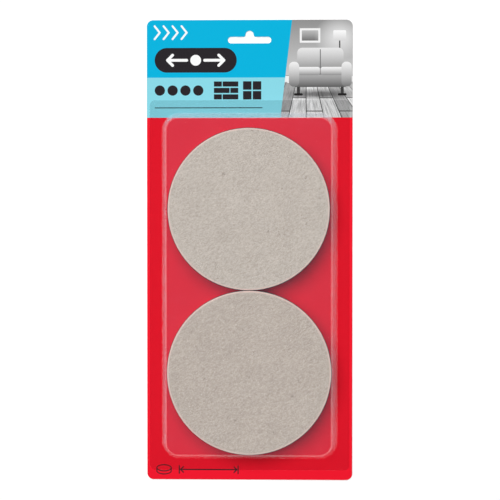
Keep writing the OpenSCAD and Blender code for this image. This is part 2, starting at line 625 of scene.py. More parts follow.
@dataclass(frozen=True)
class HeadSigns:
    """The plain signs in the card's head. Their places across the card are from their left."""

    left: float = -74.0
    count: int = 4
    chevron_y: float = 169.5
    chevron_run: float = 4.0
    chevron_rise: float = 5.0
    chevron_pitch: float = 7.0
    chevron_pen: float = 1.5
    plate_y: float = 148.0
    plate_half: Point = (32.0, 9.6)
    arrow_from: float = 7.0
    arrow_to: float = 22.0
    arrow_pen: float = 2.2
    arrow_head: float = 4.0
    knob_r: float = 4.2
    row_y: float = 124.5
    dot_r: float = 4.0
    dot_pitch: float = 10.0
    brick_x: float = 55.7
    brick_half: Point = (9.5, 2.0)
    brick_pitch: float = 5.0
    brick_shift: float = 3.0
    brick_gap: float = 0.6
    tile_x: float = 76.0
    tile_half: float = 3.3
    tile_reach: float = 3.8
    corner_r: float = 0.3
    rule_y: float = 111.0
    rule_half: Point = (42.0, 0.35)

    def plate_middle(self) -> float:
        """Where the dark plate's middle lies across the card."""
        return self.left + self.plate_half[0]

    def plate(self, s: PrintSheet) -> Socket:
        """Masks the dark plate, which has round ends."""
        return s.bar((self.plate_middle(), self.plate_y), self.plate_half, self.plate_half[1])

    def white(self, s: PrintSheet) -> list[Socket]:
        """Draws what is white: chevrons at the top, and a two-way arrow on the dark plate.

        Args:
            s: The sheet to draw on.

        Returns:
            The masks.
        """
        masks = []
        for step in range(self.count):
            x = self.left + self.chevron_pitch * step
            tip = (x + self.chevron_run, self.chevron_y)
            for rise in (self.chevron_rise, -self.chevron_rise):
                masks.append(s.stroke((x, self.chevron_y + rise), tip, self.chevron_pen))
        middle, y = self.plate_middle(), self.plate_y
        for side in (-1, 1):
            start, end = (middle + side * reach for reach in (self.arrow_from, self.arrow_to))
            masks += s.arrow((start, y), (end, y), self.arrow_pen, self.arrow_head)
        masks.append(s.disc((middle, y), self.knob_r))
        return masks

    def dark(self, s: PrintSheet) -> list[Socket]:
        """Draws what is dark: discs, bricks and tiles in a row, and a rule below them.

        Args:
            s: The sheet to draw on.

        Returns:
            The masks.
        """
        masks = []
        for step in range(self.count):
            x = self.left + self.dot_r + self.dot_pitch * step
            masks.append(s.disc((x, self.row_y), self.dot_r))
        for row in (1, 0, -1):
            masks += self.bricks(s, self.row_y + self.brick_pitch * row,
                                 -self.brick_shift if row else self.brick_shift)
        for column in (-1, 1):
            for row in (-1, 1):
                centre = (self.left + self.tile_x + self.tile_reach * column,
                          self.row_y + self.tile_reach * row)
                masks.append(s.bar(centre, (self.tile_half, self.tile_half), self.corner_r))
        rule = (self.left + self.rule_half[0], self.rule_y)
        masks.append(s.bar(rule, self.rule_half, self.corner_r))
        return masks

    def bricks(self, s: PrintSheet, y: float, shift: float) -> list[Socket]:
        """Draws a row of two bricks.

        Args:
            s: The sheet to draw on.
            y: The row's middle.
            shift: How far the joint lies to the right of the row's middle.

        Returns:
            The masks.
        """
        masks = []
        middle, (reach, half_y) = self.left + self.brick_x, self.brick_half
        for side in (-1, 1):
            outer, inner = middle + side * reach, middle + shift + side * self.brick_gap / 2
            half = (abs(outer - inner) / 2, half_y)
            masks.append(s.bar(((outer + inner) / 2, y), half, self.corner_r))
        return masks


@dataclass(frozen=True)
class FootMeasure:
    """A disc and a measuring arrow at the card's foot."""

    y: float = -171.5
    disc_x: float = -67.0
    disc_half: Point = (5.6, 2.4)
    disc_half_t: float = 1.2
    disc_pen: float = 0.8
    arrow_x: float = -32.0
    arrow_reach: float = 22.0
    arrow_head: float = 2.2
    stop_reach: float = 23.0
    stop_half: float = 3.0
    pen: float = 0.9

    def dark(self, s: PrintSheet) -> list[Socket]:
        """Draws the disc and the arrow.

        Args:
            s: The sheet to draw on.

        Returns:
            The masks.
        """
        top, low = self.y + self.disc_half_t, self.y - self.disc_half_t
        lower = s.ellipse_line((self.disc_x, low), self.disc_half, self.disc_pen)
        masks = [s.ellipse_line((self.disc_x, top), self.disc_half, self.disc_pen),
                 s.math("MULTIPLY", lower, s.math("LESS_THAN", s.along, low))]
        for side in (-1, 1):
            x = self.disc_x + side * self.disc_half[0]
            masks.append(s.stroke((x, top), (x, low), self.disc_pen))
            end = (self.arrow_x + side * self.arrow_reach, self.y)
            masks += s.arrow((self.arrow_x, self.y), end, self.pen, self.arrow_head)
            x = self.arrow_x + side * self.stop_reach
            stop = [(x, self.y + reach) for reach in (-self.stop_half, self.stop_half)]
            masks.append(s.stroke(*stop, self.pen))
        return masks


@dataclass(frozen=True)
class Block:
    """A rounded block in the picture, at its reach on both sides of a middle or right on it.

    It has one grey, or it is shaded between two heights from a lower grey to an upper one.
    """

    y: float
    half: Point
    radius: float
    greys: tuple[int, ...]
    shaded: Point = (0.0, 0.0)
    reach: float = 0.0

    def over(self, s: PrintSheet, ink: Socket, middle: float) -> Socket:
        """Prints the block.

        Args:
            s: The sheet to draw on.
            ink: What is printed already.
            middle: Where the middle lies across the card.

        Returns:
            The ink with the block over it.
        """
        places = (middle - self.reach, middle + self.reach) if self.reach else (middle,)
        mask = s.any_of([s.bar((x, self.y), self.half, self.radius) for x in places])
        tone = s.ramp(*self.shaded, *self.greys) if len(self.greys) == 2 else grey(*self.greys)
        return s.mix(mask, ink, tone)


@dataclass(frozen=True)
class RoomPicture:
    """A picture in greys: a plain sofa on a plank floor in front of a wall."""

    floor_top: float = 131.0
    wall_top: float = 179.0
    wall_greys: tuple[int, int] = (206, 142)
    middle: float = 55.0
    skirting: Block = Block(133.4, (60, 2.4), 0.2, (236,))
    skirting_line: Block = Block(136.0, (60, 0.3), 0.2, (150,))
    frame_x: float = 47.0
    frame: Block = Block(167.0, (8.0, 5.6), 0.3, (240,))
    frame_opening: Block = Block(167.0, (6.4, 4.0), 0.2, (110, 186), (163.0, 171.0))
    lamp_x: float = 70.0
    lamp_pole: Block = Block(157.5, (0.5, 8.0), 0.5, (62,))
    lamp_shade: Block = Block(167.0, (5.0, 4.0), 1.0, (212, 250), (163.0, 171.0))
    lamp_y: float = 166.0
    lamp_glow: Point = (20.0, 17.0)
    lamp_glow_grey: int = 232
    shadow_y: float = 121.5
    shadow_half: Point = (31.0, 5.0)
    shadow_grey: int = 40
    leg: Block = Block(124.5, (1.2, 3.4), 0.4, (58,), reach=17.0)
    foot_pad: Block = Block(121.3, (3.4, 0.9), 0.8, (30,), reach=17.0)
    back: Block = Block(147.0, (18.0, 10.5), 4.0, (124, 228), (138.0, 157.0))
    seam: Block = Block(149.0, (0.35, 7.35), 0.35, (108,))
    seat: Block = Block(131.6, (20.5, 4.6), 1.6, (88, 168), (127.0, 136.0))
    cushion: Block = Block(139.4, (8.6, 3.2), 1.8, (140, 246), (136.2, 142.6), reach=8.9)
    arm: Block = Block(137.0, (4.0, 9.6), 3.6, (112, 240), (127.4, 146.6), reach=20.4)
    far_point: Point = (44.0, 165.0)
    near_drop: float = 40.0
    near_run: float = 60.0
    plank_length: float = 26.0
    plank_width: float = 9.0
    plank_gap: float = 0.3
    plank_stagger: float = 0.37
    grain_scale: Place = (0.12, 1.1, 1.0)

    def ink(self, s: PrintSheet) -> Socket:
        """Draws the whole picture, from the back to the front.

        Args:
            s: The sheet to draw on.

        Returns:
            The picture's tones.
        """
        ink = s.mix(s.above(self.floor_top), self.planks(s), self.wall(s))
        shadow = s.glow((self.middle, self.shadow_y), self.shadow_half, 0.8)
        ink = s.mix(shadow, ink, grey(self.shadow_grey))
        for block in (self.leg, self.foot_pad, self.back, self.seam, self.seat, self.cushion,
                      self.arm):
            ink = block.over(s, ink, self.middle)
        return ink

    def wall(self, s: PrintSheet) -> Socket:
        """Draws the wall with its skirting board, an empty frame and a standing lamp.

        Args:
            s: The sheet to draw on.

        Returns:
            The wall's tones.
        """
        wall = s.ramp(self.floor_top, self.wall_top, *self.wall_greys)
        for block in (self.skirting, self.skirting_line):
            wall = block.over(s, wall, self.middle)
        for block in (self.frame, self.frame_opening):
            wall = block.over(s, wall, self.frame_x)
        glow = s.glow((self.lamp_x, self.lamp_y), self.lamp_glow, 0.75)
        wall = s.mix(glow, wall, grey(self.lamp_glow_grey))
        for block in (self.lamp_pole, self.lamp_shade):
            wall = block.over(s, wall, self.lamp_x)
        return wall

    def planks(self, s: PrintSheet) -> Socket:
        """Draws floor boards that run away to a far point above the floor.

        Args:
            s: The sheet to draw on.

        Returns:
            The boards' tones.
        """
        far_x, far_y = self.far_point
        depth = s.math("DIVIDE", self.near_drop, s.math("SUBTRACT", far_y, s.along))
        side = s.math("MULTIPLY", s.math("SUBTRACT", s.across, far_x), depth)
        place = s.join(s.math("MULTIPLY", depth, self.near_run), side)
        boards = s.first("ShaderNodeTexBrick", {
            "Vector": place, "Color1": grey(238), "Color2": grey(166), "Mortar": grey(84),
            "Scale": 1.0, "Mortar Size": self.plank_gap,
            "Brick Width": self.plank_length, "Row Height": self.plank_width,
        }, offset=self.plank_stagger)
        grain_place = s.vector("MULTIPLY", place, self.grain_scale)
        inputs = {"Vector": grain_place, "Scale": 1.0, "Detail": 4.0}
        grain = s.first("ShaderNodeTexNoise", inputs)
        return s.mix(s.fit(grain, 0.42, 0.68, 0, 0.6), boards, grey(118))


@dataclass(frozen=True)
class PrintedBoardFinish:
    """Coated board printed in flat inks on its face, with white cut edges and a plain back."""

    name: str
    red: Colour = srgb(238, 24, 45)
    blue: Colour = srgb(0, 177, 219)
    pale_blue: Colour = srgb(136, 214, 228)
    charcoal: Colour = srgb(38, 36, 40)
    shade: Colour = srgb(70, 20, 30)
    white: Colour = srgb(247, 248, 248)
    core: Colour = srgb(240, 238, 232)
    back: Colour = srgb(214, 209, 199)
    band_top: float = 134.5
    band_foot: float = 103.35
    panel_foot_x: float = 24.0
    panel_lean: float = 0.12
    signs: HeadSigns = HeadSigns()
    measure: FootMeasure = FootMeasure()
    picture: RoomPicture = RoomPicture()
    fibre_scale: float = 1500
    cut_scale: float = 700
    back_scale: float = 420
    fibre_depth: float = 0.05 * MM

    def material(self) -> bpy.types.Material:
        """Builds the card's material.

        Returns:
            The material: the print by place, and the board by which way a face looks.
        """
        s = PrintSheet(self.name)
        ink = s.mix(self.panel(s), self.flat_inks(s), self.picture.ink(s))
        fibres = s.noise(self.fibre_scale, 3)
        ink = s.mix(s.fit(fibres, 0.25, 0.75, 0.05, 0), ink, self.shade)
        facing = s.split(s.coords["Normal"])[2]
        cut = s.mix(s.fit(s.noise(self.cut_scale, 4), 0.35, 0.65, 0, 1), self.core, self.back)
        cloudy = s.fit(s.noise(self.back_scale, 5, 1.2), 0.35, 0.7, 0, 1)
        rough_back = s.mix(cloudy, self.back, self.core)
        board = s.mix(s.math("LESS_THAN", facing, -0.5), cut, rough_back)
        front = s.math("GREATER_THAN", facing, 0.5)
        return s.principled({
            "Base Color": s.mix(front, board, ink),
            "Roughness": s.fit(front, 0, 1, 0.85, 0.3),
            "Specular IOR Level": 0.15,
            "Normal": s.bump(fibres, 0.12, self.fibre_depth),
        })

    def panel(self, s: PrintSheet) -> Socket:
        """Masks the picture panel at the right of the head, which has a slanting edge.

        Args:
            s: The sheet to draw on.

        Returns:
            The mask.
        """
        rise = s.math("SUBTRACT", s.along, self.band_foot)
        edge = s.math("MULTIPLY_ADD", rise, self.panel_lean, self.panel_foot_x)
        right = s.math("GREATER_THAN", s.across, edge)
        return s.math("MULTIPLY", right, s.above(self.band_foot))

    def flat_inks(self, s: PrintSheet) -> Socket:
        """Lays the colour fields and the plain signs on them.

        Args:
            s: The sheet to draw on.

        Returns:
            The ink at each place.
        """
        ink = s.mix(s.above(self.band_foot), self.red, self.pale_blue)
        ink = s.mix(s.above(self.band_top), ink, self.blue)
        ink = s.mix(self.signs.plate(s), ink, self.charcoal)
        ink = s.mix(s.any_of(self.signs.white(s)), ink, self.white)
        return s.mix(s.any_of(self.signs.dark(s) + self.measure.dark(s)), ink, self.charcoal)


# Meshes


def new_piece(name: str, points: np.ndarray, faces: Faces) -> bpy.types.Object:
    """Makes a mesh object at the origin.

    Args:
        name: The piece's name.
        points: Its corners, one row each.
        faces: Its faces, as numbers of corners.

    Returns:
        The object, linked to the scene, with its normals pointing out and smooth shading.
    """
    mesh = bpy.data.meshes.new(name)
    mesh.from_pydata(points.tolist(), [], faces)
    shell = bmesh.new()
    shell.from_mesh(mesh)
    bmesh.ops.recalc_face_normals(shell, faces=shell.faces)
    shell.to_mesh(mesh)
    shell.free()
    mesh.shade_smooth()
    mesh.set_sharp_from_angle(angle=SHARP_ANGLE)
    piece = bpy.data.objects.new(name, mesh)
    bpy.context.scene.collection.objects.link(piece)
    return piece


def bridge(first: list[int], second: list[int]) -> Faces:
    """Joins two closed loops of as many points by a band of faces."""
    pairs = list(zip(first, second))
    return [(a, b, d, c) for (a, c), (b, d) in zip(pairs, pairs[1:] + pairs[:1])]


def between(start: Point, end: Point, share: float) -> Point:
    """Gives the point that lies a share of the way from start to end."""
    return (start[0] + (end[0] - start[0]) * share, start[1] + (end[1] - start[1]) * share)


def square_to_disc(u: float, v: float) -> Point:
    """Maps a square onto a disc, with cells of one area.

    Args:
        u, v: A place in the square, from -1 to 1 each way.

    Returns:
        Its place in the disc of radius 1.
    """
    if u == 0 and v == 0:
        return (0.0, 0.0)
    if abs(u) > abs(v):
        reach, turn = u, math.pi / 4 * v / u
    else:
        reach, turn = v, math.pi / 2 - math.pi / 4 * u / v
    return (reach * math.cos(turn), reach * math.sin(turn))


def dress(piece: bpy.types.Object, material: bpy.types.Material) -> None:
    """Gives a piece one material in place of any it has."""
    piece.data.materials.clear()
    piece.data.materials.append(material)


class FibreScatter(NodeGraph):
    """A node tree that strews short bent fibres over the upward side of a mesh."""

    INPUTS: dict[str, str] = {
        "Density": "Float", "Length": "Float", "Thickness": "Float", "Bend": "Float",
        "Lift": "Float", "Reach": "Float", "Seed": "Int", "Finish": "Material"}
    UPWARD: float = 0.98
    SPREAD: float = 0.9
    LENGTHS: Point = (0.45, 1.3)
    BENDS: Point = (-1.2, 1.2)
    LIFTS: Point = (0.4, 1.2)
    STEPS: int = 4
    SIDES: int = 3

    def __init__(self) -> None:
        """Builds the tree and its named inputs."""
        super().__init__(bpy.data.node_groups.new("felt_fibres", "GeometryNodeTree"))
        new_socket = self.tree.interface.new_socket
        for way in ("OUTPUT", "INPUT"):
            new_socket("Geometry", in_out=way, socket_type="NodeSocketGeometry")
        self.identifiers: dict[str, str] = {}
        for name, kind in self.INPUTS.items():
            socket = new_socket(name, in_out="INPUT", socket_type=f"NodeSocket{kind}")
            self.identifiers[name] = socket.identifier
        self.given = self.add("NodeGroupInput").outputs
        self.add("NodeGroupOutput", {0: self._fibres()})

    def _random(self, draw: Draw, low: float, high: float) -> Socket:
        """Adds a random value for each fibre, from the tree's seed."""
        inputs = {"Seed": self.math("ADD", self.given["Seed"], float(draw.value)), 2: low, 3: high}
        return self.add("FunctionNodeRandomValue", inputs, data_type="FLOAT").outputs[1]

    def _over(self, value: Socket, limit: float | Socket) -> Socket:
        """Tells where a value is greater than a limit."""
        settings = {"data_type": "FLOAT", "operation": "GREATER_THAN"}
        return self.first("FunctionNodeCompare", {0: value, 1: limit}, **settings)

    def _fibre(self) -> Socket:
        """Makes one fibre.

        Returns:
            A bent three-sided thread along X.
        """
        half = self.math("MULTIPLY", self.given["Length"], 0.5)
        line = self.first("GeometryNodeCurveQuadraticBezier", {
            "Resolution": self.STEPS,
            "Start": self.join(self.math("MULTIPLY", half, -1.0)),
            "Middle": self.join(0.0, self.given["Bend"], self.given["Lift"]),
            "End": self.join(half),
        })
        radius = self.math("MULTIPLY", self.given["Thickness"], 0.5)
        inputs = {"Resolution": self.SIDES, "Radius": radius}
        ring = self.first("GeometryNodeCurvePrimitiveCircle", inputs)
        return self.first("GeometryNodeCurveToMesh", {0: line, 1: ring, "Fill Caps": True})

    def _fibres(self) -> Socket:
        """Strews the fibre, gives each one a tone and cuts off what hangs over the edge.

        Returns:
            The fibres as a plain mesh with their material.
        """
        up = self.split(self.first("GeometryNodeInputNormal"))[2]
        points = self.first("GeometryNodeDistributePointsOnFaces", {
            "Mesh": self.given["Geometry"], "Selection": self._over(up, self.UPWARD),
            "Density": self.given["Density"], "Seed": self.given["Seed"]})
        spin = self._random(Draw.SPIN, FELT_LAY - self.SPREAD, FELT_LAY + self.SPREAD)
        strewn = self.first("GeometryNodeInstanceOnPoints", {
            "Points": points, "Instance": self._fibre(), "Rotation": self.join(0.0, 0.0, spin),
            "Scale": self.join(self._random(Draw.LENGTH, *self.LENGTHS),
                               self._random(Draw.BEND, *self.BENDS),
                               self._random(Draw.LIFT, *self.LIFTS))})
        toned = self.first("GeometryNodeStoreNamedAttribute", {
            "Geometry": strewn, "Name": "fibre_tone", "Value": self._random(Draw.TONE, 0, 1),
        }, data_type="FLOAT", domain="INSTANCE")
        real = self.first("GeometryNodeRealizeInstances", {0: toned})
        flat = self.vector("MULTIPLY", self.first("GeometryNodeInputPosition"), (1, 1, 0))
        loose = self._over(self.vector("LENGTH", flat), self.given["Reach"])
        held = self.first("GeometryNodeDeleteGeometry", {0: real, "Selection": loose})
        inputs = {"Geometry": held, "Material": self.given["Finish"]}
        return self.first("GeometryNodeSetMaterial", inputs)

    def strew(self, name: str, ground: bpy.types.Object,
              values: dict[str, object]) -> bpy.types.Object:
        """Strews fibres on a mesh.

        Args:
            name: The new piece's name.
            ground: The object whose upward side gets the fibres.
            values: The tree's inputs by name.

        Returns:
            The fibres as one plain mesh at the origin.
        """
        carrier = bpy.data.objects.new(name + "_ground", ground.data.copy())
        bpy.context.scene.collection.objects.link(carrier)
        modifier = carrier.modifiers.new("fibres", "NODES")
        modifier.node_group = self.tree
        for key, value in values.items():
            modifier[self.identifiers[key]] = value
        graph = bpy.context.evaluated_depsgraph_get()
        mesh = bpy.data.meshes.new_from_object(carrier.evaluated_get(graph))
        mesh.name = name
        bpy.data.objects.remove(carrier)
        fibres = bpy.data.objects.new(name, mesh)
        bpy.context.scene.collection.objects.link(fibres)
        return fibres


# Sub-assemblies


@dataclass(frozen=True)
class FeltRelief:
    """The felt's uneven face: combed pile and needling over slow waves, in cells per metre."""

    height: float = 0.09 * MM
    pile: float = 0.5
    pile_scale: float = 620
    needling: float = 0.27
    needling_scale: float = 230
    waves: float = 0.8
    wave_scale: float = 28
    comb: float = 0.65
    sink: float = 0.6
    seed_step: float = 0.37

    def at(self, place: Vector, seed: int) -> float:
        """Gives the relief at one place.

        Args:
            place: The place on the felt's face.
            seed: A number that makes each felt's relief its own.

        Returns:
            How far the felt rises there, mostly a little below 0.
        """
        shift = Vector((seed * self.seed_step, 0, 0))
        lay = Vector((math.cos(FELT_LAY), math.sin(FELT_LAY), 0))
        combed = place - lay * place.dot(lay) * self.comb
        pile = self.pile * noise.noise(combed * self.pile_scale + shift)
        needling = self.needling * noise.noise(combed * self.needling_scale + shift * 2)
        waves = self.waves * noise.noise(place * self.wave_scale + shift * 3)
        return self.height * (pile + needling + waves - self.sink)


@dataclass(frozen=True)
class FeltDisc:
    """A disc of felt, made face up round the origin with its face at z = 0.

    A thin dark bead stands out of its cut edge, coloured as a painted contact shadow round the
    felt. Towards its border the relief levels out and a painted highlight grows, at rates for the
    whole radius.
    """

    radius: float
    depth: float
    # How far below the face the dark bead of painted contact shadow sits
    shadow_bead_depth: float
    seed: int
    relief: FeltRelief = FeltRelief()
    edge_r: float = 0.8 * MM
    ragged: float = 0.06 * MM
    ragged_scale: float = 700
    ragged_sink: float = 0.6
    # The dark bead of painted contact shadow: how far it stands out, half its height and its thin
    # skin
    shadow_bead_width: float = 0.4 * MM
    shadow_bead_half: float = 0.28 * MM
    shadow_bead_skin: float = 0.02 * MM
    cells: int = 150
    edge_steps: int = 5
    side_steps: int = 5
    level_rate: float = 40
    # How fast the painted highlight on the rim fades inward from the border
    rim_pale_and_highlight_rate: float = 90

    def build(self, name: str) -> bpy.types.Object:
        """Makes the felt.

        Args:
            name: The piece's name.

        Returns:
            The felt, with the rim attribute that its finish reads.
        """
        points, rims = self._face_points(self.radius - self.edge_r)
        size = self.cells + 1
        faces = [(i * size + j, (i + 1) * size + j, (i + 1) * size + j + 1, i * size + j + 1)
                 for i in range(self.cells) for j in range(self.cells)]
        loop = self._border()
        angles = [math.atan2(points[i][1], points[i][0]) for i in loop]
        for reach, height, rim in self._edge_rings():
            ring = list(range(len(points), len(points) + len(angles)))
            points += [self._edge_point(angle, reach, height) for angle in angles]
            rims += [rim.value] * len(angles)
            faces += bridge(loop, ring)
            loop = ring
        back = len(points)
        points.append((0.0, 0.0, -self.depth))
        rims.append(Rim.ROUNDED.value)
        faces += [(a, b, back) for a, b in zip(loop, loop[1:] + loop[:1])]
        felt = new_piece(name, np.array(points), faces)
        attribute = felt.data.attributes.new("rim", "FLOAT", "POINT")
        attribute.data.foreach_set("value", np.array(rims, np.float32))
        return felt

    def _face_points(self, radius: float) -> tuple[list[Place], list[float]]:
        """Spreads an even square grid onto a disc, with the felt's relief.

        Args:
            radius: The disc's radius.

        Returns:
            The points, and the rim value of each.
        """
        points, rims = [], []
        for i in range(self.cells + 1):
            for j in range(self.cells + 1):
                x, y = square_to_disc(2 * i / self.cells - 1, 2 * j / self.cells - 1)
                inward = 1 - math.hypot(x, y)
                place = Vector((x * radius, y * radius, 0.0))
                height = self.relief.at(place, self.seed)
                points.append((place.x, place.y, height * min(1.0, inward * self.level_rate)))
                rims.append(max(0.0, Rim.BORDER.value - inward * self.rim_pale_and_highlight_rate))
        return points, rims

    def _border(self) -> list[int]:
        """Walks round the face's grid.

        Returns:
            The numbers of its border points, in order.
        """
        n, size = self.cells, self.cells + 1
        sides = [[i * size for i in range(n)], [n * size + j for j in range(n)],
                 [(n - i) * size + n for i in range(n)], [n - j for j in range(n)]]
        return [point for side in sides for point in side]

    def _edge_rings(self) -> list[tuple[float, float, Rim]]:
        """Goes down the cut edge, over the rounded rim and the bead of painted shadow.

        Returns:
            The reach, height and rim value of each ring of points.
        """
        rings = []
        for step in range(1, self.edge_steps + 1):
            turn = math.radians(90 * step / self.edge_steps)
            reach = self.radius - self.edge_r + self.edge_r * math.sin(turn)
            rings.append((reach, self.edge_r * (math.cos(turn) - 1), Rim.ROUNDED))
        top, foot = -self.shadow_bead_depth, -self.shadow_bead_depth - 2 * self.shadow_bead_half
        rings += [
            (self.radius, top, Rim.SIDE),
            (self.radius, top - self.shadow_bead_skin, Rim.SHADOW_BEAD),
            (self.radius + self.shadow_bead_width, top - self.shadow_bead_half, Rim.SHADOW_BEAD),
            (self.radius, foot, Rim.SHADOW_BEAD),
            (self.radius, foot - self.shadow_bead_skin, Rim.SIDE),
        ]
        for step in range(1, self.side_steps + 1):
            share = step / self.side_steps
            rings.append((self.radius, foot - (self.depth + foot) * share, Rim.SIDE))
        return rings

    def _edge_point(self, angle: float, reach: float, height: float) -> Place:
        """Places a point of the cut edge, which is a little ragged.

        Args:
            angle: The point's direction from the middle.
            reach: Its distance from the middle before it is made ragged.
            height: Its height.

        Returns:
            The point.
        """
        out = Vector((math.cos(angle), math.sin(angle), 0))
        rough = noise.noise((out * reach + Vector((0, 0, height))) * self.ragged_scale)
        ragged = reach + self.ragged * (rough - self.ragged_sink)
        return (math.cos(angle) * ragged, math.sin(angle) * ragged, height)


@dataclass
class Slider:
    """One slider: its felt is modelled, and its moulded layers keep their CAD shapes.

    The felt is cut a little smaller than its space, by trim, and may lie off its middle, by shift.
    """

    name: str
    face: Face
    felt: bpy.types.Material
    fibre: bpy.types.Material
    plastic: bpy.types.Material
    rubber: bpy.types.Material
    bond: bpy.types.Material
    trim: float = 0.2 * MM
    shift: Point = (0.0, 0.0)
    # How far below the felt's face its dark bead of painted contact shadow sits
    shadow_bead_depth: float = 1.2 * MM
    fibre_density: float = 380000.0
    fibre_length: float = 3.4 * MM
    fibre_thickness: float = 0.07 * MM
    fibre_bend: float = 0.7 * MM
    free_lift: float = 0.16 * MM
    pressed_lift: float = 0.02 * MM
    low: Vector = field(init=False)
    high: Vector = field(init=False)

    def __post_init__(self) -> None:
        """Reads the felt's place from the frame."""
        self.low, self.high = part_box(self.node("glide_felt"))

    @property
    def body(self) -> str:
        """The CAD body that this slider's pieces ride on."""
        return f"{self.name}_slider"

    @property
    def seed(self) -> int:
        """A number of this slider's own, from its name."""
        return sum(map(ord, self.name))

    def disc(self) -> FeltDisc:
        """The felt's disc, sized to its space in the frame."""
        radius, depth = (self.high.x - self.low.x) / 2 - self.trim, self.high.z - self.low.z
        return FeltDisc(radius, depth, self.shadow_bead_depth, self.seed)

    def node(self, layer: str) -> str:
        """The name of one of this slider's layers."""
        return f"{self.name}_{layer}"

    def build(self, frame: dict, scatter: FibreScatter) -> list[bpy.types.Object]:
        """Makes and dresses the slider's pieces.

        Args:
            frame: The loaded frame.
            scatter: The tree that strews fibres.

        Returns:
            The felt, its fibres and the layers that keep their CAD shapes.
        """
        disc = self.disc()
        felt = disc.build(self.node("felt"))
        dress(felt, self.felt)
        fibres = scatter.strew(self.node("felt_fibres"), felt, {
            "Density": self.fibre_density, "Length": self.fibre_length,
            "Thickness": self.fibre_thickness, "Bend": self.fibre_bend, "Lift": self.fibre_lift(),
            "Reach": disc.radius - disc.edge_r / 2, "Seed": self.seed, "Finish": self.fibre})
        for piece in (felt, fibres):
            self.turn_to_place(piece)
            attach(piece, self.body)
        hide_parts(self.node("glide_felt"))
        pieces = [felt, fibres]
        for layer, finish in (("felt_bond", self.bond), ("carrier_dish", self.plastic),
                              ("grip_bond", self.bond), ("grip_pad", self.rubber)):
            pieces.append(frame["nodes"][self.node(layer)])
            dress(pieces[-1], finish)
        return pieces

    def turn_to_place(self, piece: bpy.types.Object) -> None:
        """Moves a mesh that was made face up round the origin to the slider's own place.

        Args:
            piece: The piece whose mesh is moved.
        """
        points = np.zeros(len(piece.data.vertices) * 3)
        piece.data.vertices.foreach_get("co", points)
        points = points.reshape(-1, 3)
        middle = (self.low + self.high) / 2 + Vector((*self.shift, 0))
        if self.face is Face.OUT:
            points += (middle.x, middle.y, self.high.z)
        else:
            points = points * (1, -1, -1) + (middle.x, middle.y, self.low.z)
        piece.data.vertices.foreach_set("co", points.ravel())
        piece.data.update()

    def fibre_lift(self) -> float:
        """How far the fibres stand off the felt: a rear slider's are pressed flat on the card."""
        return self.free_lift if self.face is Face.OUT else self.pressed_lift


@dataclass
class BackingCard:
    """The printed card, which keeps its CAD shape."""

    finish: bpy.types.Material

    def build(self, frame: dict) -> list[bpy.types.Object]:
        """Dresses the card's node.

        Args:
            frame: The loaded frame.

        Returns:
            The card, as a list of one piece.
        """
        card = frame["nodes"]["backing_card"]
        dress(card, self.finish)
        return [card]


